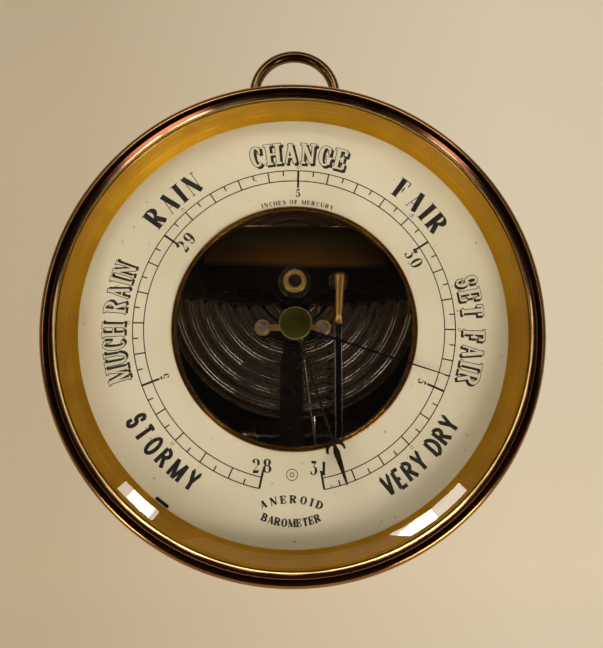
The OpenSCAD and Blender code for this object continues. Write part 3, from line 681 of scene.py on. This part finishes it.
# Each character: its width as a share of its height, and its strokes in a 1 by 1 square.
# A stem's feet are marked b and t for bottom and top. A bar's beaks are marked with BEAKS' letters.
CHARACTERS = {
    "A": (0.82, [diagonal(0, 0, 0.46, 1, HAIR), diagonal(0.46, 1, 1, 0), bar(0.3, 0.16, 0.78),
                 bar(0, -0.08, 0.14), bar(0, 0.86, 1.08)]),
    "B": (0.74, [stem(0), bow((0.1, 0.76, 0.78, 0.24, 90, -90)),
                 bow((0.1, 0.26, 0.9, 0.26, 90, -90))]),
    "C": (0.74, [bow((0.52, 0.5, 0.52, 0.5, 48, 312)), stem(0.95, 0.64, 0.96, HAIR, "")]),
    "D": (0.8, [stem(0), bow((0.1, 0.5, 0.9, 0.5, 90, -90))]),
    "E": (0.7, [stem(0), bar(1, 0, 1, "d"), bar(0.5, 0, 0.68, "m"), bar(0, 0, 1, "u")]),
    "F": (0.66, [stem(0), bar(1, 0, 1, "d"), bar(0.5, 0, 0.68, "m")]),
    "G": (0.8, [bow((0.52, 0.5, 0.52, 0.5, 48, 318)), stem(0.95, 0.64, 0.96, HAIR, ""),
                stem(0.96, 0.06, 0.42, STEM, "t")]),
    "H": (0.84, [stem(0), stem(1), bar(0.5, 0, 1)]),
    "I": (0.34, [stem(0.5)]),
    "M": (1.0, [stem(0, kind=HAIR), diagonal(0.02, 1, 0.5, 0), diagonal(0.5, 0, 0.98, 1, HAIR),
                stem(1)]),
    "N": (0.84, [stem(0, kind=HAIR), diagonal(0.02, 1, 0.98, 0), stem(1, kind=HAIR, feet="t")]),
    "O": (0.8, [ring(0.5, 0.5, 0.5, 0.5)]),
    "R": (0.8, [stem(0), bow((0.1, 0.75, 0.76, 0.25, 90, -90)), diagonal(0.42, 0.5, 0.98, 0)]),
    "S": (0.64, [bow((0.5, 0.745, 0.46, 0.255, 28, 250), (0.5, 0.265, 0.5, 0.265, 70, -152),
                     kind=SPINE),
                 stem(0.93, 0.7, 0.98, HAIR, ""), stem(0.04, 0.02, 0.32, HAIR, "")]),
    "T": (0.76, [stem(0.5, feet="b"), bar(1, 0, 1, "ad")]),
    "U": (0.8, [stem(0, 0.3, 1, feet="t"), stem(1, 0.3, 1, HAIR, "t"),
                bow((0.5, 0.32, 0.5, 0.32, 180, 360))]),
    "V": (0.8, [diagonal(0, 1, 0.5, 0), diagonal(1, 1, 0.5, 0, HAIR), bar(1, -0.1, 0.16),
                bar(1, 0.86, 1.1)]),
    "Y": (0.8, [diagonal(0, 1, 0.5, 0.42), diagonal(1, 1, 0.5, 0.42, HAIR),
                stem(0.5, 0, 0.44, feet="b"), bar(1, -0.1, 0.16), bar(1, 0.86, 1.1)]),
    "0": (0.6, [ring(0.5, 0.5, 0.5, 0.5)]),
    "1": (0.4, [stem(0.5, feet="b"), diagonal(0.1, 0.8, 0.5, 0.98, HAIR)]),
    "2": (0.62, [bow((0.5, 0.73, 0.46, 0.27, 168, -40)), diagonal(0.86, 0.56, 0.06, 0.06, HAIR),
                 diagonal(0.02, 0.05, 0.94, 0.05), stem(0.98, 0.02, 0.24, HAIR, ""),
                 diagonal(0.08, 0.72, 0.2, 0.82)]),
    "3": (0.6, [diagonal(0.06, 0.95, 0.96, 0.95), diagonal(0.92, 0.94, 0.4, 0.6, HAIR),
                bow((0.44, 0.31, 0.5, 0.31, 100, -150)), diagonal(0.0, 0.16, 0.16, 0.2)]),
    "5": (0.6, [diagonal(0.16, 0.94, 0.94, 0.94), stem(0.1, 0.52, 0.95, HAIR, ""),
                bow((0.44, 0.31, 0.5, 0.31, 128, -150)), diagonal(0.0, 0.16, 0.16, 0.2)]),
    "8": (0.64, [ring(0.5, 0.76, 0.4, 0.24), ring(0.5, 0.27, 0.5, 0.27)]),
    "9": (0.62, [ring(0.5, 0.68, 0.46, 0.32),
                 bow((0.44, 0.5, 0.54, 0.5, 20, -128)), diagonal(0.08, 0.16, 0.2, 0.2)]),
    " ": (0.36, []),
}


# How far the small stroke across a bar's end reaches down and up, as shares of the height.
# An "a" beside them puts one on both ends of the bar.
BEAKS = {"d": (-0.24, 0), "u": (0, 0.28), "m": (-0.14, 0.14)}
BEAK_WEIGHT = 1.4


class Lettering:
    """A style of lettering. Thicknesses are shares of the capitals' height."""

    def __init__(self, thick, thin, serif=0.0, squeeze=1.0, outline=0.0, shade=0.0):
        self.thick, self.thin, self.serif = thick, thin, serif
        self.squeeze, self.outline, self.shade = squeeze, outline, shade

    def strokes(self, character, left, height):
        """The path in mm, the widths and whether it is closed, for each stroke of a character."""
        width, parts = CHARACTERS[character]
        thick, thin, serif = [height * v for v in (self.thick, self.thin, self.serif)]
        width *= height * self.squeeze

        def at(p):
            return (left + thick / 2 + p[0] * (width - thick), thin / 2 + p[1] * (height - thin))

        for kind, points, ends in parts:
            path = [at(p) for p in points]
            weight = {STEM: thick, HAIR: thin, BAR: thin}.get(kind)
            if kind in (BOW, RING):
                weight = [thin + (thick - thin) * p[2] for p in points]
            if kind == SPINE:
                steps = len(path) - 1
                weight = [thin + (thick - thin) * math.sin(math.pi * i / steps) ** 1.3
                          for i in range(steps + 1)]
            yield path, weight, kind == RING
            if not serif:
                continue
            for end, mark in ((0, "b"), (1, "t")):
                if mark in ends and kind in (STEM, HAIR):
                    x, y = path[end]
                    reach = weight / 2 + serif
                    yield [(x - reach, y), (x + reach, y)], thin, False
            for mark, (down, up) in BEAKS.items():
                if mark in ends and kind == BAR:
                    sides = (0, 1) if "a" in ends else (1,)
                    for side in sides:
                        x, y = path[side]
                        beak = [(x, y + down * height), (x, y + up * height)]
                        yield beak, thin * BEAK_WEIGHT, False


def write(text, style, height, width, place):
    """Sets text centred on place's start, spread over width."""
    natural = [CHARACTERS[c][0] * style.squeeze * height for c in text]
    gap = (width - sum(natural)) / max(1, len(text) - 1)
    left = -width / 2
    for character, wide in zip(text, natural):
        for path, weight, closed in style.strokes(character, left, height):
            if style.outline:
                grow = style.outline * height
                shift = (style.shade * height, -style.shade * height)
                ink.stroke(path, weight, place, grow, closed, shift)
                ink.stroke(path, weight, place, grow, closed)
                paper.stroke(path, weight, place, 0.0, closed)
            else:
                ink.stroke(path, weight, place, 0.0, closed)
        left += wide + gap


def polar(r, angle):
    """A point on the dial at a radius and an angle clockwise from the dial's own top."""
    return r * math.sin(math.radians(angle)), r * math.cos(math.radians(angle))


def as_drawn(u, v):
    return u, v


FAT = Lettering(0.23, 0.035, 0.07, 0.8)
SANS = Lettering(0.19, 0.17, 0.0, 0.72)
SHADED = Lettering(0.15, 0.07, 0.06, 0.66, outline=0.032, shade=0.075)
NARROW = Lettering(0.13, 0.06, 0.05, 0.6, outline=0.032, shade=0.075)
ORNATE = Lettering(0.17, 0.09, 0.07, 0.7, outline=0.034, shade=0.09)
DIDONE = Lettering(0.2, 0.05, 0.07, 1.0)
SMALL = Lettering(0.24, 0.09, 0.05, 1.0)
LEGEND = Lettering(0.27, 0.1, 0.06, 1.02)

ink = Printing(0.012)
paper = Printing(0.08)
track_r = scale_r * 0.9324          # the scale's inner circle
word_r = scale_r + 2.2              # the words' baseline
word_h = 6.1
dot_r, dot_w = 0.42, 0.13           # the small ring under each word
dot_place = scale_r + 1.1
tick_w, line_w = 0.36, 0.28
half_inch_w = tick_w * 1.7
half_inch_past = 2                  # how far these lines reach inside the track

# The words, every 45 degrees: text, style, degrees of arc
WORDS = [("STORMY", SANS, 29, -135), ("MUCH RAIN", NARROW, 38, -90), ("RAIN", FAT, 21, -45),
         ("CHANGE", ORNATE, 32, 0), ("FAIR", FAT, 20.5, 45), ("SET FAIR", SHADED, 35, 90),
         ("VERY DRY", SANS, 31, 135)]
for text, style, arc, angle in WORDS:
    inward = abs(angle) > 90
    base_r = word_r + word_h if inward else word_r
    write(text, style, word_h, math.radians(arc) * base_r, around(base_r, angle, inward))
    dot = [Vector(polar(dot_place, angle)) + Vector(polar(dot_r, 30 * k)) for k in range(12)]
    ink.stroke(dot, dot_w, as_drawn, closed=True)

half_scale = inch_deg * inches / 2
for r in (scale_r, track_r):
    circle = [polar(r, -half_scale + half_scale * i / 120) for i in range(241)]
    ink.stroke(circle, line_w, as_drawn)
ticks_per_inch = 20
for step in range(inches * ticks_per_inch + 1):
    angle = -half_scale + step * inch_deg / ticks_per_inch
    inner = track_r if step % 2 == 0 else (track_r + scale_r) / 2
    wide = tick_w
    if step % (ticks_per_inch // 2) == 0:
        inner = track_r - half_inch_past
        wide = half_inch_w
    ink.stroke([polar(inner, angle), polar(scale_r, angle)], wide, as_drawn)

numeral_h = 3.7
numeral_r = track_r - 4.9
numeral_off = 2.6                   # degrees that 29 and 30 stand clockwise of their lines
write("29", DIDONE, numeral_h, 5.2, around(numeral_r, -inch_deg / 2 + numeral_off))
write("30", DIDONE, numeral_h, 5.2, around(numeral_r, inch_deg / 2 + numeral_off))
write("28", DIDONE, numeral_h, 5.4, flat(-8.3, -40.0))
write("31", DIDONE, numeral_h, 4.6, flat(7.0, -40.4))
for angle in (-inch_deg, 0, inch_deg):
    write("5", DIDONE, 2.4, 1.4, around(track_r - 4.8, angle))
write("INCHES OF MERCURY", SMALL, 1.25, 20.5, around(rim.x1 + 0.7, 0))

# An arched line over one that sags, and two small rings between 28 and 31
legend_r, legend_h = 20.0, 2.15
legend_top, legend_foot = -47.9, -54.1
write("ANEROID", LEGEND, legend_h, 16.5, around(legend_r, 0, centre=(0, legend_top - legend_r)))
write("BAROMETER", LEGEND, legend_h, 17.0,
      around(legend_r, 180, True, centre=(0, legend_foot + legend_r)))
for r in (0.55, 1.5):
    ornament = [Vector((0, -40.4)) + Vector(polar(r, 15 * k)) for k in range(24)]
    ink.stroke(ornament, 0.2, as_drawn, closed=True)

ink.piece("dial_printing", dial_ink().material, "black_lacquer")
paper.piece("dial_lettering_faces", lettering_paper().material, "printed_dial")


# ---- Floor, light and camera ----

def backdrop():
    """A pale floor that sweeps up into a pale wall, well behind and below the instrument. It glows with painted
    light, darker to the left and lighter to the right.
    """
    floor_z, wall_y, bend = -0.5, 0.6, 0.2
    front, top, half_width = -0.35, 3.0, 4.0
    line = [(front, floor_z), (wall_y - bend, floor_z)]
    line += [(wall_y - bend + bend * math.sin(a), floor_z + bend - bend * math.cos(a))
             for a in np.radians(np.arange(5, 91, 5))]
    line += [(wall_y, top)]
    corners = [(x, y, z) for x in (-half_width, half_width) for y, z in line]
    count = len(line)
    sheets = [(i, i + 1, count + i + 1, count + i) for i in range(count - 1)]
    mesh = bpy.data.meshes.new("backdrop")
    mesh.from_pydata(corners, [], sheets)
    for face in mesh.polygons:
        face.use_smooth = True
    f = Finish("backdrop_paper", metallic=0.0, Specular_IOR_Level=0.1, Roughness=0.9)
    f.colour(f.mix(f.noise(500, 2), rgb(206, 190, 162), rgb(200, 184, 156)))
    fade = 350  # the glow turns from one tone to the other between these sides, in mm
    across = f.ease(f.axis(0), -fade, fade)
    # Painted light: the backdrop glows, darker on the left than on the right.
    f.feed(f.shader.inputs["Emission Color"],
           f.mix(across, rgb(188, 171, 143), rgb(222, 208, 182)))
    f.shader.inputs["Emission Strength"].default_value = 0.7
    mesh.materials.append(f.material)
    made = bpy.data.objects.new("backdrop", mesh)
    bpy.context.scene.collection.objects.link(made)


def softbox(name, azimuth, slant, distance, wide, tall, power):
    """An area light that faces the dial's middle, wide across its own direction.

    azimuth is anticlockwise from the dial's right, slant is from the dial's axis; metres and watts.
    """
    lamp = bpy.data.lights.new(name, "AREA")
    lamp.shape = "RECTANGLE"
    lamp.size, lamp.size_y = wide, tall
    lamp.energy = power
    lamp.color = rgb(255, 247, 234)[:3]
    made = bpy.data.objects.new(name, lamp)
    turn, lean = math.radians(azimuth), math.radians(slant)
    way = point(math.cos(turn) * math.sin(lean), math.sin(turn) * math.sin(lean), math.cos(lean))
    way.normalize()
    across = Vector((0, -1, 0)).cross(way).normalized()
    facing = Matrix((across, way.cross(across), way)).transposed().to_4x4()
    made.matrix_world = Matrix.Translation(point(0, 0, dial.z1) + way * distance) @ facing
    bpy.context.scene.collection.objects.link(made)


def surroundings(colour, front, behind, seen):
    """Soft light from all round, of strength front in front of the dial and behind behind it.

    The camera itself sees the colour at strength seen.
    """
    world = bpy.data.worlds.new("surroundings")
    world.use_nodes = True
    tree = world.node_tree
    sky = tree.nodes["Background"]
    sky.inputs["Color"].default_value = colour
    where = tree.nodes.new("ShaderNodeTexCoord").outputs["Generated"]
    split = tree.nodes.new("ShaderNodeSeparateXYZ")
    tree.links.new(where, split.inputs[0])
    grade = tree.nodes.new("ShaderNodeMapRange")
    tree.links.new(split.outputs["Y"], grade.inputs["Value"])
    grading = {"From Min": -0.6, "From Max": 0.05, "To Min": front, "To Max": behind}
    for socket, value in grading.items():
        grade.inputs[socket].default_value = value
    choose = tree.nodes.new("ShaderNodeMix")
    direct = tree.nodes.new("ShaderNodeLightPath").outputs["Is Camera Ray"]
    tree.links.new(direct, choose.inputs[0])
    tree.links.new(grade.outputs[0], choose.inputs[2])
    choose.inputs[3].default_value = seen
    tree.links.new(choose.outputs[0], sky.inputs["Strength"])
    bpy.context.scene.world = world


def camera():
    """Stands a little below the dial's middle, close, and looks slightly up at it."""
    lens_mm, sensor_mm = 27.78, 36.0
    level, right, up = 90, 1.26, 5.95  # degrees: from looking down to level, then right and up
    place = point(-1.28, -13.84, 180.0)
    turn = Matrix.Rotation(math.radians(level), 4, "X")
    turn @= Matrix.Rotation(math.radians(-right), 4, "Y")
    turn @= Matrix.Rotation(math.radians(up), 4, "X")
    data = bpy.data.cameras.new("camera")
    data.lens, data.sensor_width = lens_mm, sensor_mm
    data.clip_start = 0.005
    made = bpy.data.objects.new("camera", data)
    made.matrix_world = Matrix.Translation(place) @ turn
    bpy.context.scene.collection.objects.link(made)
    bpy.context.scene.camera = made


backdrop()
# Name, azimuth, slant, distance, width, height, watts
LIGHTS = [
    ("window_right", -51, 61, 1.4, 0.5, 0.6, 11.6),
    ("pane_right", -56, 61, 1.35, 0.26, 0.035, 0.5),
    ("window_left", -135, 60.5, 1.4, 0.26, 0.5, 4.0),
    ("pane_left", -134, 60.5, 1.35, 0.16, 0.035, 0.3),
    ("overhead_left", 146, 46, 0.45, 0.5, 0.04, 0.2),
    ("overhead", 90, 47, 0.4, 0.5, 0.04, 0.34),
    ("overhead_right", 34, 46, 0.45, 0.5, 0.04, 0.13),
]
for light in LIGHTS:
    softbox(*light)
surroundings(rgb(250, 240, 224), front=0.02, behind=0.42, seen=0.6)
camera()
bpy.context.scene.view_settings.view_transform = "Standard"
